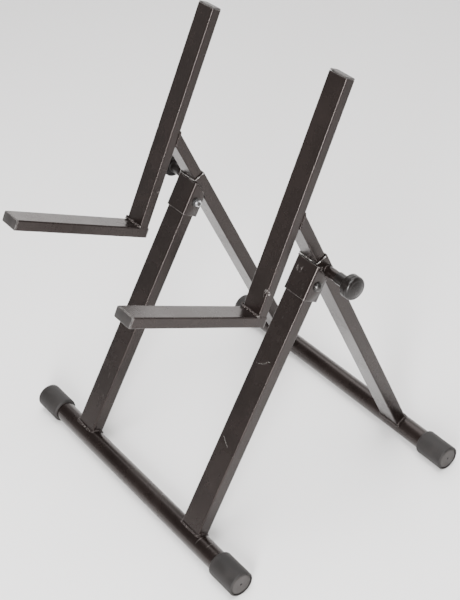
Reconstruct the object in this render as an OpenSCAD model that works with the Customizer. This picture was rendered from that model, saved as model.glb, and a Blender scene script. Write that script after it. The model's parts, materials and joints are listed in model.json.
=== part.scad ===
// Folding tilt-back amplifier stand.
// Two square-cornered L-shaped arms slide in a pair of slanted rear legs, and the
// front legs fold back against the rear legs about a bolt at each hinge bracket.
// +X is the stand's right side as seen from the front, -Y is the front, +Z is up.
// The floor is Z = 0, and X = Y = 0 is the middle of the whole stand's outline.

/* [Base tubes and feet] */
// Overall width over the rubber feet
stand_width = 418.6; // [380:0.1:460]
// Outside diameter of the two round base tubes
base_tube_d = 25.4; // [24:0.1:26]
// Wall of the round base tubes
base_wall = 1.5; // [1.2:0.1:2]
// Outside diameter of a rubber foot
foot_d = 32; // [30.5:0.1:34]
// Length of a rubber foot
foot_len = 42; // [36:1:50]
// Thickness of a rubber foot's closed end
foot_end = 5; // [4:0.5:7]

/* [Legs] */
// Distance between the right and left legs, centre to centre
leg_spacing = 226.9; // [210:0.1:250]
// Angle of the front legs above the floor when the stand is open
front_leg_angle = 59.9; // [57:0.1:62]
// Angle of the rear legs above the floor
rear_leg_angle = 65.3; // [63:0.1:67]
// Length of a rear leg, from the base tube's axis to its open top
rear_leg_len = 354.3; // [340:0.1:370]
// Width of the front and rear leg tubes
leg_w = 31.6; // [31.2:0.1:32]
// Depth of the front and rear leg tubes
leg_t = 16.4; // [16.2:0.1:16.8]
// Wall of the leg tubes
leg_wall = 1.2; // [1:0.1:1.3]

/* [Fold hinge] */
// Distance of the fold pivot below the rear leg's open top
pivot_below_lip = 25.9; // [25:0.1:28]
// Distance of the fold pivot in front of the rear leg's centreline
pivot_ahead = 20.3; // [19.5:0.1:21]
// Distance of the fold pivot behind the front leg's centreline
pivot_setback = 2; // [1.6:0.1:2.6]
// Thickness of the bracket's plate
plate = 1.5; // [1.4:0.1:1.7]
// Gap between the front leg and the bracket, on each side
leg_clearance = 0.3; // [0.25:0.05:0.4]
// Diameter of the pivot bolt
bolt_d = 5; // [4.8:0.1:5.2]
// Diameter of the bolt's domed head
bolt_head_d = 10.6; // [10:0.1:11]

/* [Sliding arms] */
// Backward lean of the uprights
lean = 25; // [23:0.5:27]
// Width of the upright and support-arm tubes
arm_w = 27.9; // [27:0.1:28.6]
// Depth of the upright and support-arm tubes
arm_t = 12.9; // [12.4:0.1:13.4]
// Wall of the upright and support-arm tubes
arm_wall = 1.2; // [1:0.1:1.5]
// Length of an upright above the support arm, with its plug
upright_len = 274.6; // [250:0.1:300]
// Length of a support arm in front of the upright's back face, with its plug
support_len = 185.1; // [160:0.1:210]
// Distance from the support arm's top up to where the inner tube joins the upright
joint_height = 114.8; // [112:0.1:120]
// Length of inner tube that shows above the rear leg, on its centreline
rest_extension = 65.7; // [62:0.1:80]
// Width of an inner tube
inner_w = 27.9; // [27.4:0.1:28.2]
// Depth of an inner tube
inner_t = 13.4; // [13:0.1:13.6]
// Wall of an inner tube
inner_wall = 1.2; // [1:0.1:1.5]
// Length of an inner tube, on its centreline
inner_len = 205; // [200:1:230]

/* [Height locks] */
// Distance of a spring pin below the rear leg's open top
pin_below_lip = 19.8; // [19:0.1:20.5]
// Spacing of the holes in an inner tube
hole_pitch = 24; // [22:1:24]
// Number of height settings
settings = 4; // [2:1:4]
// Diameter of a spring pin's nose
pin_d = 7.8; // [7.4:0.1:8]
// How far a spring pin moves from its drawn-back place to its locked place
pin_travel = 6; // [5:0.5:6]
// Diameter of a pin's welded housing
housing_d = 12.6; // [12.4:0.1:12.8]
// Diameter of a knob's head
knob_d = 28; // [26:0.1:30]

/* [Plugs] */
// Thickness of a plug's outer flange
plug_flange = 1.5; // [1.2:0.1:2.6]
// Height of the thin neck between a tube's end and the flange
plug_neck = 0.4; // [0.3:0.1:1]
// Depth of a plug inside its tube
plug_depth = 12; // [10:1:16]
// How far the right upright's plug stands up at its inner end
plug_lift = 0.6; // [0:0.1:0.9]

/* [Hidden] */
$fn = 48;

RIGHT = 1;
LEFT = -1;
powder_coat = [0.13, 0.12, 0.12];
rubber = [0.17, 0.16, 0.16];
plastic = [0.1, 0.1, 0.1];
zinc = [0.45, 0.45, 0.46];

// Corner radii of the rectangular tubes
corner_r = 1.7;
inner_corner_r = 0.5;

// Base tubes: both axes are one foot radius above the floor
axis_z = foot_d / 2;
tube_half = stand_width / 2 - foot_end;

// Pivot height, front leg length and base spread that follow from the two leg angles
pivot_along = rear_leg_len - pivot_below_lip;
pivot_z = axis_z + pivot_along * sin(rear_leg_angle) - pivot_ahead * cos(rear_leg_angle);
pivot_before_rear = pivot_along * cos(rear_leg_angle) + pivot_ahead * sin(rear_leg_angle);
front_along = (pivot_z - axis_z + pivot_setback * cos(front_leg_angle)) / sin(front_leg_angle);
pivot_behind_front = front_along * cos(front_leg_angle) + pivot_setback * sin(front_leg_angle);
base_spread = pivot_before_rear + pivot_behind_front;

// Corner of the L: on the upright's back face, level with the support arm's top
reach = rear_leg_len + rest_extension;
corner_before_rear = reach * cos(rear_leg_angle) + joint_height * sin(lean);
corner_z = axis_z + reach * sin(rear_leg_angle) - joint_height * cos(lean);
tip_before_corner = support_len * cos(lean) + arm_t * sin(lean);
arm_overhang = corner_before_rear + tip_before_corner - base_spread;

// Places in the stand's frame, with the outline's middle at Y = 0
rear_y = (base_spread + arm_overhang - foot_d / 2) / 2;
front_y = rear_y - base_spread;
pivot_y = rear_y - pivot_before_rear;
corner_y = rear_y - corner_before_rear;
leg_x = leg_spacing / 2;

// Hinge bracket, measured in the front leg's frame from the base tube's axis
bracket_in_w = leg_w + 2 * leg_clearance;
bracket_out_w = bracket_in_w + 2 * plate;
bracket_front = leg_t / 2 + 0.6;
bracket_bend_r = 3;
bracket_low = front_along - 18.5;
bracket_high = front_along + 22.5;
bracket_rear = 11.2;
bracket_rear_len = 26;
bracket_deep = 60;

// The plates' rear edges bulge over the rear leg's sides in a shallow arc
lap = 1.7;
lap_arc_r = 62;
lap_below_lip = 16.8;

// Front leg's top, rounded about the pivot
leg_top_r = leg_t / 2 + pivot_setback - 0.6;

// Bush that the front leg turns on, and the fasteners on its bolt
bush_d = 9;
washer_d = 12;
washer_t = 1;
nut_flats = 8;
nut_len = 4.6;

// Spring pin, measured outwards from the rear leg's side face
skirt_start = 17.6;
housing_len = 30;
housing_end = 4;
housing_bore_d = 9;
skirt_gap = 0.1;
skirt_d = housing_d + 2 * skirt_gap + 1.4;
knob_floor = housing_len + pin_travel + 0.3;
head_start = 33.8;
head_len = 15.2;
ring_below_top = 8;
ring_w = 0.7;
rod_d = 5;
rod_grip = 10;
nose_gap = 0.2;
nose_tip = -(leg_w - inner_w) / 2 + nose_gap;
collar_x = 8;
collar_len = 3;
spring_wire = 0.9;
spring_d = 8.3;
spring_turns = 6;

// ---------- shared shapes ----------

// Rectangle with rounded corners
module soft_rect(w, t, r) {
    square([w - 2 * r, t], center = true);
    square([w, t - 2 * r], center = true);
    for (x = [-1, 1], y = [-1, 1])
        translate([x * (w / 2 - r), y * (t / 2 - r)]) circle(r = r);
}

// Rectangular tube along +Z
module box_tube(w, t, wall, len) {
    linear_extrude(len) difference() {
        soft_rect(w, t, corner_r);
        soft_rect(w - 2 * wall, t - 2 * wall, inner_corner_r);
    }
}

// Children stand on the rear leg's centreline, +Z up the leg and +Y to its rear
module rear_leg_frame() {
    translate([0, rear_y, axis_z]) rotate([90 - rear_leg_angle, 0, 0]) children();
}

// Children stand on the front leg's centreline, +Z up the leg and -Y to its front
module front_leg_frame() {
    translate([0, front_y, axis_z]) rotate([front_leg_angle - 90, 0, 0]) children();
}

// Children stand on the L's corner, +Z up the upright and -Y out along the support arm
module arm_frame() {
    translate([0, corner_y, corner_z]) rotate([-lean, 0, 0]) children();
}

// Children point outwards along +X from a rear leg's side face, at the pin's height
module pin_frame(side) {
    rear_leg_frame()
        translate([side * (leg_x + leg_w / 2), 0, rear_leg_len - pin_below_lip])
            rotate([0, side * 90, 0]) children();
}

// Children point along +X from the centre of a front leg's pivot
module pivot_frame(side) {
    translate([side * leg_x, pivot_y, pivot_z]) rotate([0, side * 90, 0]) children();
}

// ---------- base ----------

module base_tube(y) {
    color(powder_coat) translate([-tube_half, y, axis_z]) rotate([0, 90, 0]) difference() {
        cylinder(d = base_tube_d, h = 2 * tube_half, $fn = 96);
        translate([0, 0, -1])
            cylinder(d = base_tube_d - 2 * base_wall, h = 2 * tube_half + 2, $fn = 96);
    }
}

// Rubber foot: a deep cap with a rounded mouth, and a sunken, dimpled disc in its end
module foot(side, y) {
    r = foot_d / 2;
    mouth_r = 3;
    edge_r = 2.2;
    disc_r = r - 3.2;
    groove_w = 0.9;
    sunk = 0.7;
    groove = 1.2;
    color(rubber)
        translate([side * (stand_width / 2), y, axis_z]) rotate([0, -side * 90, 0])
            difference() {
                rotate_extrude($fn = 96) union() {
                    square([r - edge_r, foot_len - mouth_r]);
                    translate([0, edge_r]) square([r, foot_len - edge_r - mouth_r]);
                    translate([r - edge_r, edge_r]) intersection() {
                        circle(r = edge_r);
                        translate([0, -edge_r]) square(edge_r);
                    }
                    translate([r - mouth_r, foot_len - mouth_r]) intersection() {
                        circle(r = mouth_r);
                        square(mouth_r);
                    }
                    square([r - mouth_r, foot_len]);
                }
                translate([0, 0, foot_end]) cylinder(d = base_tube_d, h = foot_len, $fn = 96);
                translate([0, 0, -1]) cylinder(r = disc_r + groove_w, h = 1 + sunk, $fn = 96);
                translate([0, 0, -1]) difference() {
                    cylinder(r = disc_r + groove_w, h = 1 + sunk + groove, $fn = 96);
                    translate([0, 0, -1]) cylinder(r = disc_r, h = 3 + sunk + groove, $fn = 96);
                }
                translate([0, 0, sunk - 0.2]) cylinder(r1 = 1.4, r2 = 0.6, h = 1.4, $fn = 32);
            }
}

// ---------- rear frame ----------

module rear_leg(side) {
    color(powder_coat) difference() {
        rear_leg_frame() translate([side * leg_x, 0, 0])
            box_tube(leg_w, leg_t, leg_wall, rear_leg_len);
        translate([0, rear_y, axis_z]) rotate([0, 90, 0])
            cylinder(d = base_tube_d, h = stand_width, center = true, $fn = 96);
        pin_frame(side) translate([0, 0, -leg_w / 2])
            cylinder(d = pin_d + 0.2, h = leg_w, $fn = 64);
    }
}

// Folded plate channel, open to the rear, that wraps the front leg's top
module hinge_bracket(side) {
    color(powder_coat) difference() {
        front_leg_frame() translate([side * leg_x, 0, bracket_low]) difference() {
            linear_extrude(bracket_high - bracket_low) bracket_section();
            // rear edge of the side plates, below the rear leg
            translate([-bracket_out_w, bracket_rear, -1])
                cube([2 * bracket_out_w, bracket_deep, bracket_rear_len + 1]);
        }
        // the side plates stop just behind the rear leg's front face
        rear_leg_frame() translate([0, -leg_t / 2, 0]) difference() {
            cube_from_front(2 * stand_width, bracket_deep, 2 * rear_leg_len);
            translate([0, lap - lap_arc_r, rear_leg_len - lap_below_lip]) rotate([0, 90, 0])
                cylinder(r = lap_arc_r, h = 3 * stand_width, center = true, $fn = 128);
        }
        // the front wall stops at the rear leg's front face
        rear_leg_frame() translate([side * leg_x, 0, 0]) rear_leg_core();
        pivot_frame(side) translate([0, 0, -30]) cylinder(d = bolt_d + 0.2, h = 60, $fn = 64);
    }
}

// Channel section with rounded bends and its front wall towards -Y
module bracket_section() {
    difference() {
        translate([0, bracket_deep / 2 - bracket_front - plate])
            soft_rect(bracket_out_w, bracket_deep, bracket_bend_r);
        translate([0, bracket_deep - bracket_front])
            soft_rect(bracket_in_w, 2 * bracket_deep, bracket_bend_r - plate);
    }
}

// Slab whose front face is at Y = 0, centred on X and on the leg's middle
module cube_from_front(w, t, h) {
    translate([-w / 2, 0, -h / 4]) cube([w, t, h]);
}

// Solid outline of a rear leg, to cut what meets it
module rear_leg_core() {
    linear_extrude(rear_leg_len) soft_rect(leg_w, leg_t, corner_r);
}

// ---------- pivots ----------

module pivot_bolts() {
    half = bracket_out_w / 2;
    start = half + washer_t + nut_len + 0.8;
    dome_r = bolt_head_d / 2;
    color(zinc) for (side = [RIGHT, LEFT]) pivot_frame(side) {
        translate([0, 0, -start]) cylinder(d = bolt_d, h = start + half + washer_t, $fn = 64);
        translate([0, 0, half + washer_t]) rotate_extrude($fn = 64) intersection() {
            translate([0, -dome_r + 3.4]) circle(r = dome_r + 0.6);
            square([dome_r, 4]);
        }
    }
}

// Lock nuts: a hexagon with a round collar for the locking ring
module pivot_nuts() {
    outer = bracket_out_w / 2 + washer_t + nut_len;
    collar = 1.2;
    color(zinc) for (side = [RIGHT, LEFT]) pivot_frame(side) translate([0, 0, -outer])
        difference() {
            union() {
                cylinder(d = nut_flats - 0.4, h = collar, $fn = 48);
                translate([0, 0, collar])
                    cylinder(d = nut_flats / cos(30), h = nut_len - collar, $fn = 6);
            }
            translate([0, 0, -1]) cylinder(d = bolt_d, h = nut_len + 2, $fn = 64);
        }
}

module pivot_washers() {
    half = bracket_out_w / 2;
    color(zinc) for (side = [RIGHT, LEFT], z = [-half - washer_t, half])
        pivot_frame(side) translate([0, 0, z]) difference() {
            cylinder(d = washer_d, h = washer_t, $fn = 64);
            translate([0, 0, -1]) cylinder(d = bolt_d + 0.2, h = washer_t + 2, $fn = 64);
        }
}

module pivot_bush(side) {
    len = leg_w;
    color(zinc) pivot_frame(side) translate([0, 0, -len / 2]) difference() {
        cylinder(d = bush_d, h = len, $fn = 64);
        translate([0, 0, -1]) cylinder(d = bolt_d + 0.15, h = len + 2, $fn = 64);
    }
}

// ---------- front frame ----------

module front_leg(side) {
    color(powder_coat) difference() {
        front_leg_frame() translate([side * leg_x, 0, 0]) intersection() {
            box_tube(leg_w, leg_t, leg_wall, front_along + leg_top_r);
            union() {
                translate([-leg_w, -leg_t, 0]) cube([2 * leg_w, 2 * leg_t, front_along]);
                translate([0, pivot_setback, front_along]) rotate([0, 90, 0])
                    cylinder(r = leg_top_r, h = 2 * leg_w, center = true, $fn = 96);
            }
        }
        translate([0, front_y, axis_z]) rotate([0, 90, 0])
            cylinder(d = base_tube_d, h = stand_width, center = true, $fn = 96);
        pivot_frame(side) translate([0, 0, -30]) cylinder(d = bush_d, h = 60, $fn = 64);
    }
}

// ---------- arms ----------

module inner_tube(side) {
    color(powder_coat) difference() {
        rear_leg_frame() translate([side * leg_x, 0, reach - inner_len])
            box_tube(inner_w, inner_t, inner_wall, inner_len + 20);
        arm_frame() translate([-stand_width, -60, -100]) cube([2 * stand_width, 60, 500]);
        for (i = [0 : settings - 1])
            pin_frame(side) translate([side * i * hole_pitch, 0, -10])
                cylinder(d = pin_d + 0.8, h = 10, $fn = 64);
    }
}

module upright(side) {
    color(powder_coat) arm_frame() translate([side * leg_x, -arm_t / 2, 0])
        box_tube(arm_w, arm_t, arm_wall, upright_len - plug_flange - plug_neck);
}

module support_arm(side) {
    color(powder_coat) arm_frame() translate([side * leg_x, 0, -arm_t / 2]) rotate([90, 0, 0])
        box_tube(arm_w, arm_t, arm_wall, support_len - plug_flange - plug_neck);
}

// Plastic plug for the end of an arm tube, flange up, tube end at Z = 0. The lift raises
// the flange's -X end, as on a plug that isn't pushed quite home.
module tube_plug(lift = 0) {
    fit_w = arm_w - 2 * arm_wall;
    fit_t = arm_t - 2 * arm_wall;
    soft = 0.6;
    color(plastic) {
        translate([arm_w / 2, 0, plug_neck]) rotate([0, asin(lift / arm_w), 0])
            translate([-arm_w / 2, 0, 0]) {
                linear_extrude(plug_flange - soft)
                    soft_rect(arm_w - 0.2, arm_t - 0.2, corner_r);
                translate([0, 0, plug_flange - soft]) linear_extrude(soft)
                    soft_rect(arm_w - 1.4, arm_t - 1.4, corner_r - 0.6);
            }
        translate([0, 0, -1]) linear_extrude(1 + plug_neck + lift)
            soft_rect(fit_w - 4, fit_t, inner_corner_r);
        difference() {
            translate([0, 0, -plug_depth]) linear_extrude(plug_depth)
                soft_rect(fit_w, fit_t, inner_corner_r);
            translate([0, 0, -plug_depth - 1]) linear_extrude(plug_depth)
                soft_rect(fit_w - 4, fit_t - 4, inner_corner_r);
        }
    }
}

module upright_plug(side) {
    arm_frame()
        translate([side * leg_x, -arm_t / 2, upright_len - plug_flange - plug_neck])
            tube_plug(side == RIGHT ? plug_lift : 0);
}

module arm_tip_plug(side) {
    arm_frame()
        translate([side * leg_x, -(support_len - plug_flange - plug_neck), -arm_t / 2])
            rotate([90, 0, 0]) tube_plug();
}

module arm_rear_plug(side) {
    arm_frame() translate([side * leg_x, 0, -arm_t / 2]) rotate([-90, 0, 0]) tube_plug();
}

// ---------- height locks ----------

module pin_housing(side) {
    color(powder_coat) pin_frame(side) difference() {
        cylinder(d = housing_d, h = housing_len, $fn = 64);
        translate([0, 0, -1]) cylinder(d = housing_bore_d, h = housing_len - housing_end + 1, $fn = 64);
        cylinder(d = rod_d + 0.2, h = housing_len + 1, $fn = 64);
    }
}

module pin_plunger(side) {
    color(zinc) pin_frame(side) {
        translate([0, 0, nose_tip + 1]) cylinder(d = pin_d, h = collar_x - nose_tip - 1, $fn = 64);
        translate([0, 0, nose_tip]) cylinder(d1 = pin_d - 1.6, d2 = pin_d, h = 1, $fn = 64);
        translate([0, 0, collar_x]) cylinder(d = housing_bore_d - 0.2, h = collar_len, $fn = 64);
        translate([0, 0, collar_x]) cylinder(d = rod_d, h = head_start + rod_grip - collar_x, $fn = 64);
    }
}

// Coil spring between the plunger's collar and the housing's end wall
module pin_spring(side) {
    steps = 16;
    ring = 6;
    low = collar_x + collar_len + spring_wire / 2;
    high = housing_len - housing_end - spring_wire / 2;
    mean_r = (spring_d - spring_wire) / 2;
    count = spring_turns * steps;
    points = [for (i = [0 : count], k = [0 : ring - 1])
        let (a = 360 * i / steps, b = 360 * k / ring, r = mean_r + spring_wire / 2 * cos(b))
            [r * cos(a), r * sin(a), low + (high - low) * i / count + spring_wire / 2 * sin(b)]];
    sides = [for (i = [0 : count - 1], k = [0 : ring - 1])
        let (n = (k + 1) % ring)
            [i * ring + k, i * ring + n, (i + 1) * ring + n, (i + 1) * ring + k]];
    first = [for (k = [ring - 1 : -1 : 0]) k];
    last = [for (k = [0 : ring - 1]) count * ring + k];
    color(zinc) pin_frame(side) polyhedron(points, concat(sides, [first], [last]), convexity = 8);
}

// Knob: a skirt that slides over the housing, a flared neck and a domed mushroom head
module pin_knob(side) {
    color(plastic) pin_frame(side) difference() {
        rotate_extrude($fn = 96) knob_profile();
        translate([0, 0, head_start + head_len - ring_below_top]) difference() {
            cylinder(d = knob_d + 2, h = ring_w, $fn = 96);
            translate([0, 0, -1]) cylinder(d = knob_d - 0.7, h = ring_w + 2, $fn = 96);
        }
        translate([0, 0, skirt_start - 1])
            cylinder(d = housing_d + 2 * skirt_gap, h = knob_floor - skirt_start + 1, $fn = 64);
        cylinder(d = rod_d, h = head_start + rod_grip, $fn = 64);
    }
}

// Half section of the knob, with its axis along Y
module knob_profile() {
    r = knob_d / 2;
    neck = skirt_d / 2;
    flare = 0.8;
    back_r = 1.2;
    front_r = 4;
    dome = 1.8;
    dome_w = r - front_r;
    dome_r = (dome_w * dome_w + dome * dome) / (2 * dome);
    top = head_start + head_len;
    translate([0, skirt_start]) square([neck, head_start - skirt_start + 1]);
    translate([0, head_start]) square([r - front_r, head_len - dome]);
    polygon([[0, head_start - 1], [neck, head_start - 1], [neck + 1, head_start],
        [r - back_r, head_start + flare], [r - back_r, head_start + 6], [0, head_start + 6]]);
    translate([r - back_r, head_start + flare + back_r]) circle(r = back_r, $fn = 48);
    translate([0, head_start + flare + back_r])
        square([r, head_len - dome - front_r - flare - back_r]);
    translate([r - front_r, top - dome - front_r]) circle(r = front_r, $fn = 64);
    translate([0, top - dome_r]) intersection() {
        circle(r = dome_r, $fn = 160);
        translate([0, dome_r - dome - 0.01]) square([dome_w, dome + 1]);
    }
}

base_tube(rear_y);  // rear_base_tube
rear_leg(RIGHT);  // rear_leg_right
rear_leg(LEFT);  // rear_leg_left
hinge_bracket(RIGHT);  // hinge_bracket_right
hinge_bracket(LEFT);  // hinge_bracket_left
pivot_bolts();
pivot_nuts();
pivot_washers();
pin_housing(RIGHT);  // pin_housing_right
pin_housing(LEFT);  // pin_housing_left
pin_spring(RIGHT);  // pin_spring_right
pin_spring(LEFT);  // pin_spring_left
foot(RIGHT, rear_y);  // rear_foot_right
foot(LEFT, rear_y);  // rear_foot_left
base_tube(front_y);  // front_base_tube
front_leg(RIGHT);  // front_leg_right
front_leg(LEFT);  // front_leg_left
pivot_bush(RIGHT);  // pivot_bush_right
pivot_bush(LEFT);  // pivot_bush_left
foot(RIGHT, front_y);  // front_foot_right
foot(LEFT, front_y);  // front_foot_left
inner_tube(RIGHT);  // inner_tube_right
upright(RIGHT);  // upright_right
support_arm(RIGHT);  // support_arm_right
upright_plug(RIGHT);  // upright_plug_right
arm_tip_plug(RIGHT);  // arm_tip_plug_right
arm_rear_plug(RIGHT);  // arm_rear_plug_right
inner_tube(LEFT);  // inner_tube_left
upright(LEFT);  // upright_left
support_arm(LEFT);  // support_arm_left
upright_plug(LEFT);  // upright_plug_left
arm_tip_plug(LEFT);  // arm_tip_plug_left
arm_rear_plug(LEFT);  // arm_rear_plug_left
pin_plunger(RIGHT);  // pin_plunger_right
pin_knob(RIGHT);  // pin_knob_right
pin_plunger(LEFT);  // pin_plunger_left
pin_knob(LEFT);  // pin_knob_left
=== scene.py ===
"""Looks for the folding tilt-back amplifier stand: materials, weld beads, studio and camera."""

import json
import math

import bmesh
import bpy
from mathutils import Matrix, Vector, noise

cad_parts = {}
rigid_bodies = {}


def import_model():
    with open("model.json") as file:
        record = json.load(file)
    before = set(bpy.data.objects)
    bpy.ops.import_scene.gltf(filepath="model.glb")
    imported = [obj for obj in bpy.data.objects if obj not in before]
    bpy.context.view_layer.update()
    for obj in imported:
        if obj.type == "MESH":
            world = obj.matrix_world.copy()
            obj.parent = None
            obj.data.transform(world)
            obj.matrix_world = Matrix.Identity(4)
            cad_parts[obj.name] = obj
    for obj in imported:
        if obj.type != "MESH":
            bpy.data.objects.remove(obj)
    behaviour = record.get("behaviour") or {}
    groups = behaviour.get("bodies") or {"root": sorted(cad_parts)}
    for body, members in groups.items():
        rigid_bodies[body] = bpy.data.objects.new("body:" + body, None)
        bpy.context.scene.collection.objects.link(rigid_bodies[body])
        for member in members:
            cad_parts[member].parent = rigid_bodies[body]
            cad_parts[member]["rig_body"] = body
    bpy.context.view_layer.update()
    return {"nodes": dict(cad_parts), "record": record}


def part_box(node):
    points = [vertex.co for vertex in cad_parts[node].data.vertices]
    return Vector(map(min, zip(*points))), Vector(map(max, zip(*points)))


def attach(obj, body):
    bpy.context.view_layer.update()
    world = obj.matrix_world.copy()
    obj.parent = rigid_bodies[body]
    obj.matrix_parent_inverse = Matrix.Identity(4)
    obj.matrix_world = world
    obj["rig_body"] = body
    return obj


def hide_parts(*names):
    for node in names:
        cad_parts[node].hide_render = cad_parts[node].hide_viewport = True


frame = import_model()

SIDES = {"right": 1, "left": -1}

# ---------------------------------------------------------------- camera
CAMERA_AZIMUTH = math.radians(51.337)
CAMERA_ELEVATION = math.radians(34.069)
CAMERA_DISTANCE = 1.531
CAMERA_TARGET = Vector((0.0, 0.0702, 0.2645))
FOCAL_LENGTH = 76.616
FRAME_SHIFT = (-0.0636, -0.0755)


def add_camera():
    """The photograph's viewpoint: above the right front corner, looking down at the stand."""
    towards_camera = Vector((
        math.sin(CAMERA_AZIMUTH) * math.cos(CAMERA_ELEVATION),
        -math.cos(CAMERA_AZIMUTH) * math.cos(CAMERA_ELEVATION),
        math.sin(CAMERA_ELEVATION),
    ))
    data = bpy.data.cameras.new("camera")
    data.lens = FOCAL_LENGTH
    data.shift_x, data.shift_y = FRAME_SHIFT
    data.dof.use_dof = False
    camera = bpy.data.objects.new("camera", data)
    camera.location = CAMERA_TARGET + towards_camera * CAMERA_DISTANCE
    camera.rotation_euler = (-towards_camera).to_track_quat("-Z", "Y").to_euler()
    bpy.context.scene.collection.objects.link(camera)
    bpy.context.scene.camera = camera


# ---------------------------------------------------------------- studio
STAGE_MIDDLE = Vector((0.0, 0.0, 0.25))
DIM_SIDE = 0.75
BRIGHT_WALL = 3.3
CEILING_SHARE = 0.22
FLOOR_SIZE = 40.0
FLOOR_GAP = 0.0004


def add_softbox(name, direction, distance, size, radiance):
    """A rectangular softbox in that direction from the stand, facing it."""
    towards = Vector(direction).normalized()
    data = bpy.data.lights.new(name, "AREA")
    data.shape = "RECTANGLE"
    data.size, data.size_y = size
    data.energy = radiance * math.pi * size[0] * size[1]
    light = bpy.data.objects.new(name, data)
    light.location = STAGE_MIDDLE + towards * distance
    light.rotation_euler = (-towards).to_track_quat("-Z", "Y").to_euler()
    bpy.context.scene.collection.objects.link(light)


def add_surround():
    """A white wall behind the stand and a dim room on the camera's left, darker overhead."""
    world = bpy.data.worlds.new("studio")
    world.use_nodes = True
    tree = world.node_tree
    direction = tree.nodes.new("ShaderNodeTexCoord").outputs["Generated"]

    def ramp(source, start, end, first, last):
        node = tree.nodes.new("ShaderNodeMapRange")
        node.interpolation_type = "SMOOTHSTEP"
        for socket, value in (
            ("From Min", start), ("From Max", end), ("To Min", first), ("To Max", last)
        ):
            node.inputs[socket].default_value = value
        tree.links.new(source, node.inputs["Value"])
        return node.outputs["Result"]

    towards_wall = tree.nodes.new("ShaderNodeVectorMath")
    towards_wall.operation = "DOT_PRODUCT"
    towards_wall.inputs[1].default_value = (-0.55, 0.82, -0.25)
    tree.links.new(direction, towards_wall.inputs[0])
    parts = tree.nodes.new("ShaderNodeSeparateXYZ")
    tree.links.new(direction, parts.inputs[0])
    level = tree.nodes.new("ShaderNodeMath")
    level.operation = "MULTIPLY"
    wall = ramp(towards_wall.outputs["Value"], -0.05, 0.8, DIM_SIDE, BRIGHT_WALL)
    tree.links.new(wall, level.inputs[0])
    tree.links.new(ramp(parts.outputs["Z"], 0.12, 0.55, 1.0, CEILING_SHARE), level.inputs[1])
    background = tree.nodes["Background"]
    background.inputs["Color"].default_value = (1.0, 0.97, 0.955, 1.0)
    tree.links.new(level.outputs[0], background.inputs["Strength"])
    bpy.context.scene.world = world


def add_floor():
    bpy.ops.mesh.primitive_plane_add(size=FLOOR_SIZE, location=(0.0, 0.0, -FLOOR_GAP))
    floor = bpy.context.object
    floor.name = "floor"
    material = bpy.data.materials.new("pale_floor")
    material.use_nodes = True
    shader = material.node_tree.nodes["Principled BSDF"]
    shader.inputs["Base Color"].default_value = (0.9, 0.89, 0.885, 1.0)
    shader.inputs["Roughness"].default_value = 0.8
    floor.data.materials.append(material)


def add_studio():
    add_surround()
    add_floor()
    add_softbox("top_box", (0.12, -0.16, 1.0), 2.2, (1.7, 1.7), 10.0)
    add_softbox("back_box", (-0.40, 0.42, 0.85), 2.8, (2.0, 2.0), 3.6)
    add_softbox("low_box", (0.69, -0.72, 0.30), 2.2, (0.5, 1.1), 62.0)


# ---------------------------------------------------------------- materials
BEVEL_SAMPLES = 4


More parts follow.
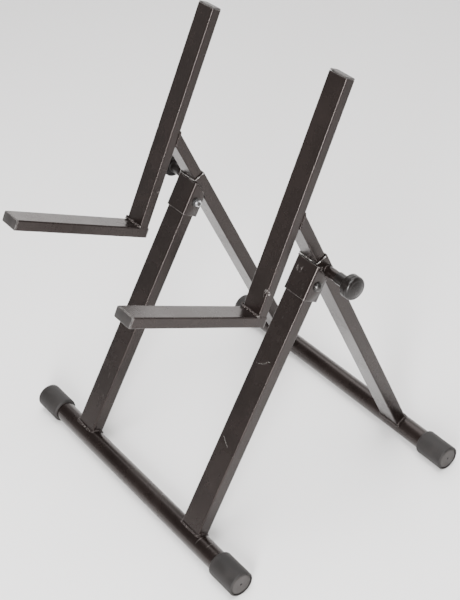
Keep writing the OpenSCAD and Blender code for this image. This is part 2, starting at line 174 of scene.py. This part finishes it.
class Graph:
    """A material's node tree, with short calls for the nodes used here."""

    def __init__(self, name):
        self.material = bpy.data.materials.new(name)
        self.material.use_nodes = True
        self.tree = self.material.node_tree
        self.shader = self.tree.nodes["Principled BSDF"]
        self.coords = self.tree.nodes.new("ShaderNodeTexCoord").outputs["Object"]

    def link(self, source, target):
        self.tree.links.new(source, target)

    def fill(self, socket, value):
        if isinstance(value, bpy.types.NodeSocket):
            self.link(value, socket)
        elif value is not None:
            socket.default_value = value

    def stretch(self, scale, rotation=(0.0, 0.0, 0.0)):
        node = self.tree.nodes.new("ShaderNodeMapping")
        node.inputs["Scale"].default_value = scale
        node.inputs["Rotation"].default_value = rotation
        self.link(self.coords, node.inputs["Vector"])
        return node.outputs["Vector"]

    def noise(self, scale, detail=2.0, roughness=0.5, vector=None):
        node = self.tree.nodes.new("ShaderNodeTexNoise")
        node.inputs["Scale"].default_value = scale
        node.inputs["Detail"].default_value = detail
        node.inputs["Roughness"].default_value = roughness
        self.link(vector or self.coords, node.inputs["Vector"])
        return node.outputs["Fac"]

    def cells(self, scale):
        node = self.tree.nodes.new("ShaderNodeTexVoronoi")
        node.inputs["Scale"].default_value = scale
        self.link(self.coords, node.inputs["Vector"])
        return node.outputs["Distance"]

    def spread(self, value, low, high, to_low=0.0, to_high=1.0):
        """Maps low..high to to_low..to_high, clamped and smooth."""
        node = self.tree.nodes.new("ShaderNodeMapRange")
        node.interpolation_type = "SMOOTHSTEP"
        for name, number in (
            ("From Min", low), ("From Max", high), ("To Min", to_low), ("To Max", to_high)
        ):
            node.inputs[name].default_value = number
        self.link(value, node.inputs["Value"])
        return node.outputs["Result"]

    def math(self, operation, first, second=None):
        node = self.tree.nodes.new("ShaderNodeMath")
        node.operation = operation
        self.fill(node.inputs[0], first)
        self.fill(node.inputs[1], second)
        return node.outputs[0]

    def blend(self, factor, first, second):
        """Mixes two colours."""
        node = self.tree.nodes.new("ShaderNodeMix")
        node.data_type = "RGBA"
        self.fill(node.inputs[0], factor)
        self.fill(node.inputs[6], first)
        self.fill(node.inputs[7], second)
        return node.outputs[2]

    def bump(self, height, distance, strength=1.0, normal=None):
        node = self.tree.nodes.new("ShaderNodeBump")
        node.inputs["Strength"].default_value = strength
        node.inputs["Distance"].default_value = distance
        self.link(height, node.inputs["Height"])
        if normal is not None:
            self.link(normal, node.inputs["Normal"])
        return node.outputs["Normal"]

    def edges(self, radius):
        """1 on sharp edges and 0 on flat faces."""
        bevel = self.tree.nodes.new("ShaderNodeBevel")
        bevel.samples = BEVEL_SAMPLES
        bevel.inputs["Radius"].default_value = radius
        geometry = self.tree.nodes.new("ShaderNodeNewGeometry")
        dot = self.tree.nodes.new("ShaderNodeVectorMath")
        dot.operation = "DOT_PRODUCT"
        self.link(bevel.outputs["Normal"], dot.inputs[0])
        self.link(geometry.outputs["Normal"], dot.inputs[1])
        return self.spread(dot.outputs["Value"], 0.985, 0.9)

    def near(self, centre, radius):
        """1 at a point of the stand, falling to 0 at radius from it."""
        node = self.tree.nodes.new("ShaderNodeVectorMath")
        node.operation = "DISTANCE"
        self.link(self.coords, node.inputs[0])
        node.inputs[1].default_value = centre
        return self.spread(node.outputs["Value"], radius, radius * 0.5)

    def facing(self, axis, low, high):
        """0 to 1 as the surface turns from across to along an axis of the stand."""
        geometry = self.tree.nodes.new("ShaderNodeNewGeometry")
        parts = self.tree.nodes.new("ShaderNodeSeparateXYZ")
        self.link(geometry.outputs["True Normal"], parts.inputs[0])
        return self.spread(self.math("ABSOLUTE", parts.outputs[axis]), low, high)

    def output(self, **sockets):
        for name, value in sockets.items():
            self.fill(self.shader.inputs[name.replace("_", " ").title()], value)
        return self.material


def rgb(red, green, blue):
    return (red, green, blue, 1.0)


def scuff_zones():
    """Centres and radii of the places where the paint is scratched, on the front of the stand."""
    right = TubeFrame("upright_right")
    leg = TubeFrame("front_leg_right")
    return [
        (right.point(right.half_w - 0.001, right.half_t, right.low + 0.028), 0.006),
        (right.point(right.half_w, -0.002, right.low + 0.009), 0.004),
        (leg.point(-0.007, leg.half_t + 0.002, leg.high + 0.001), 0.006),
        (leg.point(0.007, leg.half_t + 0.002, leg.high - 0.017), 0.0022),
    ]


def powder_coat():
    """Black satin powder coat: orange peel, faint dust, fine scratches, and sharp edges painted lighter,
    as wear and as a painted highlight.
    """
    g = Graph("powder_coat")
    peel = g.noise(900.0, 2.0, 0.5)
    mottle = g.noise(26.0, 4.0, 0.6)
    base = g.blend(g.spread(mottle, 0.3, 0.75), rgb(0.0052, 0.0036, 0.0032), rgb(0.0080, 0.0056, 0.0050))
    fine = g.noise(60.0, 3.0, 0.6, g.stretch((14.0, 1.0, 1.0), (0.3, 0.5, 0.0)))
    scratch = g.math("MULTIPLY", g.spread(fine, 0.685, 0.72), g.spread(g.noise(9.0), 0.5, 0.62))
    # Sharp edges painted lighter: partly wear, partly a painted highlight where the rounded edges catch
    # the light.
    edge_wear_and_highlight = g.math("MULTIPLY", g.edges(0.0007), g.spread(g.noise(130.0, 4.0, 0.65), 0.3, 0.5))
    # marks holds the scratches, the scuffs and the painted edge highlight, all drawn in the lighter
    # colour below.
    marks = g.math("MAXIMUM", g.math("MULTIPLY", scratch, 0.3), g.math("MULTIPLY", edge_wear_and_highlight, 0.9))
    strokes = g.noise(150.0, 3.0, 0.6, g.stretch((5.0, 1.0, 1.0), (0.9, 0.4, 0.2)))
    for centre, radius in scuff_zones():
        zone = g.near(centre, radius)
        marks = g.math("MAXIMUM", marks, g.math("MULTIPLY", zone, g.spread(strokes, 0.56, 0.62)))
    colour = g.blend(marks, base, rgb(0.24, 0.225, 0.215))
    roughness = g.spread(mottle, 0.3, 0.75, 0.24, 0.30)
    normal = g.bump(peel, 0.00002, 0.4, g.bump(scratch, 0.00004, 0.4))
    g.shader.inputs["Specular IOR Level"].default_value = 0.34
    g.shader.inputs["Specular Tint"].default_value = rgb(1.0, 0.88, 0.845)
    return g.output(base_color=colour, roughness=roughness, normal=normal)


def rubber():
    """Matte moulded rubber: fine rings round the body, and the end disc painted paler where it faces
    along X, as painted light.
    """
    g = Graph("foot_rubber")
    skin = g.noise(1400.0, 2.0, 0.6)
    rings = g.noise(900.0, 1.0, 0.4, g.stretch((1.0, 0.02, 0.02)))
    bloom = g.noise(55.0, 5.0, 0.65)
    body = g.blend(
        g.spread(bloom, 0.35, 0.7), rgb(0.0080, 0.0067, 0.0063), rgb(0.0155, 0.0132, 0.0126)
    )
    # Painted light: the end disc, facing along X, is painted paler, standing in for the light it
    # catches.
    lightened = g.math("MULTIPLY", g.facing("X", 0.96, 0.995), g.spread(bloom, 0.1, 0.6, 0.8, 1.0))
    colour = g.blend(lightened, body, rgb(0.034, 0.030, 0.0285))
    roughness = g.spread(bloom, 0.3, 0.7, 0.55, 0.70)
    g.shader.inputs["Specular IOR Level"].default_value = 0.35
    normal = g.bump(rings, 0.00006, 0.35, g.bump(skin, 0.00005, 0.5))
    return g.output(base_color=colour, roughness=roughness, normal=normal)


def plug_plastic():
    """Fine-grained black plastic, with paler edges: partly wear, partly a painted highlight."""
    g = Graph("plug_plastic")
    grain = g.cells(2200.0)
    haze = g.noise(80.0, 4.0, 0.6)
    base = g.blend(g.spread(haze, 0.3, 0.7), rgb(0.014, 0.0125, 0.012), rgb(0.026, 0.0235, 0.0225))
    # Edges painted paler: partly wear, partly a painted highlight where the edges catch the light.
    lightened = g.math("MULTIPLY", g.edges(0.0006), g.spread(g.noise(240.0), 0.3, 0.55))
    colour = g.blend(lightened, base, rgb(0.17, 0.16, 0.155))
    roughness = g.spread(haze, 0.3, 0.7, 0.36, 0.46)
    g.shader.inputs["Specular IOR Level"].default_value = 0.36
    return g.output(base_color=colour, roughness=roughness, normal=g.bump(grain, 0.00003, 0.35))


def knob_plastic():
    """Smooth satin black plastic with handling marks."""
    g = Graph("knob_plastic")
    haze = g.noise(45.0, 5.0, 0.6)
    lines = g.noise(110.0, 2.0, 0.5, g.stretch((1.0, 9.0, 1.0), (0.4, 0.0, 0.7)))
    lightened = g.spread(lines, 0.63, 0.7)
    colour = g.blend(lightened, rgb(0.0062, 0.0051, 0.0047), rgb(0.017, 0.0152, 0.0147))
    roughness = g.math("ADD", g.spread(haze, 0.3, 0.7, 0.26, 0.34), g.math("MULTIPLY", lightened, 0.1))
    g.shader.inputs["Specular IOR Level"].default_value = 0.28
    return g.output(
        base_color=colour, roughness=roughness, normal=g.bump(g.noise(1600.0), 0.00002, 0.3)
    )


def black_zinc():
    """Black zinc plate on turned steel."""
    g = Graph("black_zinc")
    turned = g.noise(700.0, 3.0, 0.6, g.stretch((6.0, 1.0, 1.0)))
    colour = g.blend(g.spread(turned, 0.4, 0.7), rgb(0.022, 0.021, 0.020), rgb(0.07, 0.067, 0.065))
    g.shader.inputs["Metallic"].default_value = 0.6
    roughness = g.spread(turned, 0.3, 0.7, 0.18, 0.3)
    return g.output(base_color=colour, roughness=roughness, normal=g.bump(turned, 0.00002, 0.4))


def bright_zinc():
    """Bright zinc plate on turned steel."""
    g = Graph("bright_zinc")
    turned = g.noise(800.0, 3.0, 0.6, g.stretch((8.0, 1.0, 1.0)))
    colour = g.blend(g.spread(turned, 0.35, 0.7), rgb(0.50, 0.50, 0.51), rgb(0.64, 0.64, 0.65))
    g.shader.inputs["Metallic"].default_value = 1.0
    roughness = g.spread(turned, 0.3, 0.7, 0.24, 0.38)
    return g.output(base_color=colour, roughness=roughness, normal=g.bump(turned, 0.00002, 0.5))


def bare_edge():
    """Steel showing through rubbed paint, with scraps of paint left on it."""
    g = Graph("bare_edge")
    patches = g.spread(g.noise(420.0, 3.0, 0.6), 0.36, 0.5)
    colour = g.blend(patches, rgb(0.03, 0.026, 0.024), rgb(0.62, 0.6, 0.58))
    g.shader.inputs["Metallic"].default_value = 0.25
    roughness = g.spread(g.noise(300.0), 0.3, 0.7, 0.4, 0.6)
    return g.output(
        base_color=colour, roughness=roughness, normal=g.bump(g.noise(1500.0), 0.00003, 0.5)
    )


# ---------------------------------------------------------------- shapes
ACROSS = Vector((1.0, 0.0, 0.0))
TUBE_CORNER = 0.0017
BRACKET_BEND = 0.003
WALL_SKIN = 0.00025
SHARP = math.radians(35)


class TubeFrame:
    """Axes and section of a straight rectangular tube, read off its CAD node.

    along runs up the tube and front is the outward direction of its front face.
    """

    def __init__(self, node):
        mesh = frame["nodes"][node].data
        flats = [p for p in mesh.polygons if abs(p.normal.x) < 0.01]
        self.front = max(flats, key=lambda p: p.area).normal.copy()
        if self.front.y > 0:
            self.front.negate()
        self.along = self.front.cross(ACROSS)
        places = [(v.co.x, v.co @ self.front, v.co @ self.along) for v in mesh.vertices]
        lows = [min(place[i] for place in places) for i in range(3)]
        highs = [max(place[i] for place in places) for i in range(3)]
        self.middle_x, self.middle_n = ((lows[i] + highs[i]) / 2 for i in (0, 1))
        self.half_w, self.half_t = ((highs[i] - lows[i]) / 2 for i in (0, 1))
        self.low, self.high = lows[2], highs[2]

    def point(self, x, n, s):
        """x and n from the tube's centreline, s along it in the stand's own frame."""
        return (
            ACROSS * (self.middle_x + x)
            + self.front * (self.middle_n + n)
            + self.along * s
        )

    def outline(self, step=0.0004, grow=0.0):
        """Points (x, n) around the rounded section, step apart."""
        w, t, r = self.half_w + grow, self.half_t + grow, TUBE_CORNER
        corners = ((1, 1, 0), (-1, 1, 90), (-1, -1, 180), (1, -1, 270))
        loop = []
        for sx, sn, start in corners:
            for i in range(7):
                turn = math.radians(start + 15 * i)
                loop.append(Vector((
                    sx * (w - r) + r * math.cos(turn), sn * (t - r) + r * math.sin(turn)
                )))
        return resample(loop + loop[:1], step)[:-1]


def resample(path, step):
    """The same line with points close to step apart, first and last kept."""
    lengths = [(b - a).length for a, b in zip(path, path[1:])]
    count = max(2, round(sum(lengths) / step))
    out, index, passed = [], 0, 0.0
    for i in range(count + 1):
        goal = sum(lengths) * i / count
        while index < len(lengths) - 1 and passed + lengths[index] < goal:
            passed += lengths[index]
            index += 1
        share = min(1.0, (goal - passed) / max(lengths[index], 1e-9))
        out.append(path[index].lerp(path[index + 1], share))
    return out


def add_mesh(name, vertices, faces, body, slot):
    """A smooth mesh on a body."""
    mesh = bpy.data.meshes.new(name)
    mesh.from_pydata([tuple(v) for v in vertices], [], faces)
    mesh.shade_smooth()
    mesh.materials.append(materials[slot])
    piece = bpy.data.objects.new(name, mesh)
    bpy.context.scene.collection.objects.link(piece)
    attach(piece, body)
    return piece


BEAD_SIDES = 12
RIPPLE = 0.0026
SPATTER_SEED = 1
# noise_vector starts from a different state in each Blender session unless it is seeded.
# With this seed no drop reaches the sliding inner tubes; with some others one does.
noise.seed_set(SPATTER_SEED)


def bead(
    name, path, radius, body, closed=False, seed=0.0, flat=1.0, lean=None, slot="powder_coat"
):
    """A rippled weld bead along path; flat squashes it along lean, the surface's direction."""
    count = len(path)
    vertices, passed = [], 0.0
    for i, centre in enumerate(path):
        before = path[i - 1] if i or closed else path[i]
        after = path[(i + 1) % count] if i < count - 1 or closed else path[i]
        tangent = (after - before).normalized()
        side = lean if lean else Vector((0.31, 0.17, 0.94))
        first = (side - tangent * side.dot(tangent)).normalized()
        second = tangent.cross(first)
        passed += (centre - before).length
        wobble = noise.noise(centre * 300 + Vector((seed, 0, 0)))
        scale = 0.55 + 0.5 * math.sqrt(abs(math.sin(math.pi * passed / RIPPLE))) + 0.5 * wobble
        if not closed:
            scale *= min(1.0, 0.25 + 0.3 * min(i, count - 1 - i))
        shift = 0.3 * radius * noise.noise(centre * 180 + Vector((0, seed, 4.0)))
        for k in range(BEAD_SIDES):
            turn = 2 * math.pi * k / BEAD_SIDES
            vertices.append(
                centre
                + first * (math.cos(turn) * radius * scale * flat + shift * flat)
                + second * math.sin(turn) * radius * scale
            )
    faces = []
    for i in range(count if closed else count - 1):
        near, far = i * BEAD_SIDES, (i + 1) % count * BEAD_SIDES
        for k in range(BEAD_SIDES):
            n = (k + 1) % BEAD_SIDES
            faces.append((near + k, near + n, far + n, far + k))
    if not closed:
        faces.append(tuple(reversed(range(BEAD_SIDES))))
        faces.append(tuple((count - 1) * BEAD_SIDES + k for k in range(BEAD_SIDES)))
    add_mesh(name, vertices, faces, body, slot)


def saddle_welds():
    """Beads where each leg's end meets its round base tube."""
    for which, body in (("front", "front_frame"), ("rear", "rear_frame")):
        low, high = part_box(which + "_base_tube")
        radius = (high.z - low.z) / 2
        axis = Vector((0.0, (low.y + high.y) / 2, (low.z + high.z) / 2))
        for side in SIDES:
            leg = TubeFrame(f"{which}_leg_{side}")
            offset = axis @ leg.front - leg.middle_n
            base = axis @ leg.along
            path = [
                leg.point(p.x, p.y, base + math.sqrt(radius**2 - (p.y - offset) ** 2))
                for p in leg.outline(grow=0.0003)
            ]
            bead(f"weld_{which}_leg_{side}", path, 0.0019, body, closed=True, seed=3.0)
            corner = path[0] if SIDES[side] > 0 else path[len(path) // 2]
            spatter(f"weld_{which}_end_{side}", corner, 6, 0.003, 0.0012, body, 41.0 + SIDES[side])


def plane_cut(tube, point, normal, grow):
    """The line where a tube's outer face meets a plane."""
    path = []
    for p in tube.outline(grow=grow):
        start = tube.point(p.x, p.y, 0.0)
        path.append(start + tube.along * ((point - start) @ normal / (tube.along @ normal)))
    return path


def arm_welds():
    """Beads round each inner tube on its upright, and round the foot of each upright."""
    for side in SIDES:
        body = side + "_arm"
        upright = TubeFrame("upright_" + side)
        inner = TubeFrame("inner_tube_" + side)
        back = upright.point(0, -upright.half_t, upright.low)
        path = plane_cut(inner, back, upright.front, 0.0002)
        bead(f"weld_inner_tube_{side}", path, 0.0014, body, closed=True, seed=7.0)
        w, t = upright.half_w, upright.half_t
        base = upright.low + 0.0006
        front_line = [upright.point(x, t + 0.0004, base) for x in (w - 0.001, 0.001 - w)]
        bead(
            f"weld_upright_front_{side}", resample(front_line, 0.0004), 0.0024, body, seed=11.0
        )
        for edge, sign in (("outer", SIDES[side]), ("inner", -SIDES[side])):
            end = upright.point(sign * (w - 0.001), t + 0.001, base + 0.0008)
            spatter(f"weld_end_{edge}_{side}", end, 5, 0.0028, 0.0012, body, 31.0 + sign)
            line = [
                upright.point(sign * (w - 0.0008), n, upright.low)
                for n in (t + 0.001, 0.0012 - t)
            ]
            bead(
                f"weld_upright_{edge}_{side}", resample(line, 0.0004), 0.0017, body,
                seed=13.0 + sign, flat=0.7, lean=ACROSS,
            )


def spatter(name, centre, count, reach, size, body, seed):
    """Small rounded drops of weld metal scattered close to a point."""
    vertices, faces = [], []
    for i in range(count):
        place = Vector((i * 1.7 + seed, seed, 0.5))
        drop = centre + noise.noise_vector(place) * reach
        radius = size * (1.0 + 0.6 * noise.noise(place * 3))
        work = bmesh.new()
        bmesh.ops.create_icosphere(work, subdivisions=2, radius=radius)
        start = len(vertices)
        for v in work.verts:
            lumpy = 1.0 + 0.25 * noise.noise(v.co * 900 + place)
            vertices.append(drop + v.co * lumpy)
        faces += [tuple(start + v.index for v in face.verts) for face in work.faces]
        work.free()
    add_mesh(name, vertices, faces, body, "powder_coat")


def lip_wear_highlights():
    """Bare metal round the mouth of each rear leg, where the inner tube rubs it; the bright rim also
    stands in for the highlight on the lip's rounded edge, a painted highlight.
    """
    for side in SIDES:
        leg = TubeFrame("rear_leg_" + side)
        # A bright bare-metal rim: partly wear, partly a painted highlight along the lip.
        path = [leg.point(p.x, p.y, leg.high - 0.0004) for p in leg.outline(grow=-0.0004)]
        bead(
            f"lip_wear_highlight_{side}", path, 0.00045, "rear_frame", closed=True, seed=29.0,
            slot="bare_edge",
        )


def scratches():
    """Thin bright strokes on the front face of the right front leg.

    Each is placed across the leg in metres and along it as a share of its length.
    """
    leg = TubeFrame("front_leg_right")
    face = leg.half_t - 0.00005
    length = leg.high - leg.low
    strokes = (
        ("long", (-0.0105, 0.355), (0.0025, 0.330), 0.0),
        ("hook", (0.004, 0.665), (-0.010, 0.640), 0.004),
        ("tick", (0.0085, 0.672), (0.004, 0.665), 0.0),
    )
    for name, (x1, s1), (x2, s2), bow in strokes:
        path = []
        for i in range(13):
            share = i / 12
            x = x1 + (x2 - x1) * share + bow * math.sin(math.pi * share)
            path.append(leg.point(x, face, leg.low + (s1 + (s2 - s1) * share) * length))
        bead(
            f"scratch_{name}", resample(path, 0.0004), 0.00009, "front_frame", seed=37.0,
            slot="bare_edge",
        )


def bracket_welds():
    """Beads where each bracket's plates lap the rear leg, heavier at the leg's lip."""
    for side in SIDES:
        leg = TubeFrame("rear_leg_" + side)
        plates = frame["nodes"]["hinge_bracket_" + side].data.vertices
        low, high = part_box("hinge_bracket_" + side)
        for edge, x in (("low", low.x), ("high", high.x)):
            rim = [
                v.co for v in plates
                if abs(v.co.x - x) < 0.0001
                and v.co @ leg.front - leg.middle_n < leg.half_t + 0.0002
            ]
            rim.sort(key=lambda point: point @ leg.along)
            inwards = ACROSS * (0.0007 if x == low.x else -0.0007)
            path = resample([point + inwards for point in rim], 0.0004)
            bead(
                f"weld_bracket_{edge}_{side}", path, 0.0013, "rear_frame",
                seed=17.0, flat=0.8, lean=ACROSS,
            )
            spatter(
                f"weld_lip_{edge}_{side}", path[-5], 7, 0.0042, 0.0011, "rear_frame", 19.0 + x
            )


def housing_welds():
    """A bead round the foot of each pin housing, on the rear leg's side."""
    for side, sign in SIDES.items():
        low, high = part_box("pin_housing_" + side)
        _, leg_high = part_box("rear_leg_" + side)
        leg_low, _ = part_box("rear_leg_" + side)
        start = leg_high.x if sign > 0 else leg_low.x
        radius = (high.y - low.y) / 2 + 0.0002
        middle = Vector((start, (low.y + high.y) / 2, (low.z + high.z) / 2))
        turns = [math.radians(3 * i) for i in range(120)]
        path = [
            middle + Vector((sign * 0.0002, radius * math.cos(a), radius * math.sin(a)))
            for a in turns
        ]
        bead(f"weld_housing_{side}", path, 0.0013, "rear_frame", closed=True, seed=23.0)


LATHE_STEPS = 128
LATHE_SHARP = math.radians(50)


def lathe(name, centre, outward, profile, body, slot):
    """Turns a profile of (depth, radius) about an X axis; depth is measured against outward."""
    vertices, faces = [], []
    for depth, radius in profile:
        for k in range(LATHE_STEPS):
            turn = 2 * math.pi * k / LATHE_STEPS
            vertices.append(centre + Vector((
                -outward * depth, radius * math.cos(turn), radius * math.sin(turn)
            )))
    for i in range(len(profile) - 1):
        for k in range(LATHE_STEPS):
            n = (k + 1) % LATHE_STEPS
            ring = (k, n, LATHE_STEPS + n, LATHE_STEPS + k)
            faces.append(tuple(i * LATHE_STEPS + j for j in (ring if outward < 0 else ring[::-1])))
    middle = tuple(range(LATHE_STEPS))
    faces.append(middle if outward > 0 else middle[::-1])
    piece = add_mesh(name, vertices, faces, body, slot)
    piece.data.set_sharp_from_angle(angle=LATHE_SHARP)
    return piece


def arc(depth, radius, size, first, last, steps=8):
    """Profile points round a fillet: 0 degrees points away from the axis, 90 to the outer end."""
    points = []
    for i in range(steps + 1):
        turn = math.radians(first + (last - first) * i / steps)
        points.append((depth - size * math.sin(turn), radius + size * math.cos(turn)))
    return points


def feet():
    """Moulded rubber feet: recessed disc with a dimple, a rim round it and a rolled mouth."""
    for place, body in (("front", "front_frame"), ("rear", "rear_frame")):
        for side, sign in SIDES.items():
            node = f"{place}_foot_{side}"
            low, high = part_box(node)
            tube_low, tube_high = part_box(place + "_base_tube")
            tube = (tube_high.z - tube_low.z) / 2 + 0.0001
            radius, length = (high.z - low.z) / 2, high.x - low.x
            end = high.x if sign > 0 else low.x
            centre = Vector((end, (low.y + high.y) / 2, (low.z + high.z) / 2))
            disc = radius - 0.0032
            profile = [(0.0022, 0.0004), (0.0020, 0.0008), (0.0008, 0.0013), (0.0007, 0.0017)]
            profile += [(0.0007, disc * i / 4) for i in (1, 2, 3)]
            profile += [(0.0007, disc - 0.0003), (0.0009, disc), (0.0019, disc + 0.0003)]
            profile += [(0.0019, disc + 0.0009)]
            profile += arc(0.0007, disc + 0.0017, 0.0006, 180, 90, 4)
            profile += arc(0.0015, radius - 0.0015, 0.0015, 90, 0)
            profile += [(0.0075, radius), (length * 0.5, radius - 0.0001)]
            profile += arc(length - 0.003, radius - 0.003, 0.003, 0, -90)
            profile += [(length, tube + 0.0006), (length - 0.0006, tube), (0.006, tube)]
            piece = lathe("moulded_" + node, centre, sign, profile, body, "foot_rubber")
            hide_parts(node)


def offset_from_outline(x, n, half_w, half_t, radius):
    """Distance outside a rounded rectangle, and the direction straight out from it."""
    dx, dn = abs(x) - (half_w - radius), abs(n) - (half_t - radius)
    if dx > 0 and dn > 0:
        out = Vector((math.copysign(dx, x), math.copysign(dn, n)))
        return out.length - radius, out.normalized()
    if dx > dn:
        return dx - radius, Vector((math.copysign(1.0, x), 0.0))
    return dn - radius, Vector((0.0, math.copysign(1.0, n)))


def section_normals(mesh, tube, radius):
    """Smooth normals round the outside of a rectangular section, automatic ones elsewhere."""
    normals = [Vector((0.0, 0.0, 0.0))] * len(mesh.loops)

    def place(point):
        return point.x - tube.middle_x, point @ tube.front - tube.middle_n

    for face in mesh.polygons:
        if abs(face.normal @ tube.along) > 0.05:
            continue
        gap, _ = offset_from_outline(
            *place(face.center), tube.half_w, tube.half_t, radius
        )
        if abs(gap) > WALL_SKIN:
            continue
        for loop in face.loop_indices:
            corner = mesh.vertices[mesh.loops[loop].vertex_index].co
            _, out = offset_from_outline(*place(corner), tube.half_w, tube.half_t, radius)
            normals[loop] = ACROSS * out.x + tube.front * out.y
    mesh.normals_split_custom_set(normals)


def soften(node, width, radius=None):
    """Stands in for a CAD node: its sharp edges rounded over by width.

    With a radius the node is a tube whose long corners have that radius, shaded smooth.
    """
    source = frame["nodes"][node]
    mesh = source.data.copy()
    work = bmesh.new()
    work.from_mesh(mesh)
    bmesh.ops.remove_doubles(work, verts=work.verts, dist=1e-6)
    bmesh.ops.dissolve_limit(
        work, angle_limit=math.radians(1), verts=work.verts, edges=work.edges
    )
    edges = [e for e in work.edges if e.is_manifold and e.calc_face_angle(0.0) > SHARP]
    bmesh.ops.bevel(
        work, geom=edges, offset=width, segments=2, profile=0.6, affect="EDGES",
        clamp_overlap=True,
    )
    work.to_mesh(mesh)
    work.free()
    mesh.shade_smooth()
    mesh.set_sharp_from_angle(angle=SHARP)
    if radius is not None:
        section_normals(mesh, TubeFrame(node), radius)
    piece = bpy.data.objects.new("soft_" + node, mesh)
    bpy.context.scene.collection.objects.link(piece)
    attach(piece, source["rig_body"])
    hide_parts(node)


def paint_cad_nodes(materials):
    """Gives every CAD node the procedural material of its slot."""
    for part in frame["record"]["subparts"]:
        node = frame["nodes"][part["node"]]
        node.data.materials.clear()
        node.data.materials.append(materials[part["material_slot"]])


materials = {
    "powder_coat": powder_coat(),
    "foot_rubber": rubber(),
    "plug_plastic": plug_plastic(),
    "knob_plastic": knob_plastic(),
    "black_zinc": black_zinc(),
    "bright_zinc": bright_zinc(),
    "bare_edge": bare_edge(),
}
paint_cad_nodes(materials)
for side in SIDES:
    soften("hinge_bracket_" + side, 0.0004, BRACKET_BEND)
    for tube in ("rear_leg_", "front_leg_", "inner_tube_", "upright_", "support_arm_"):
        soften(tube + side, 0.0003, TUBE_CORNER)
    for plug in ("upright_plug_", "arm_tip_plug_", "arm_rear_plug_"):
        soften(plug + side, 0.0002)
saddle_welds()
arm_welds()
bracket_welds()
housing_welds()
lip_wear_highlights()
scratches()
feet()
add_studio()
add_camera()
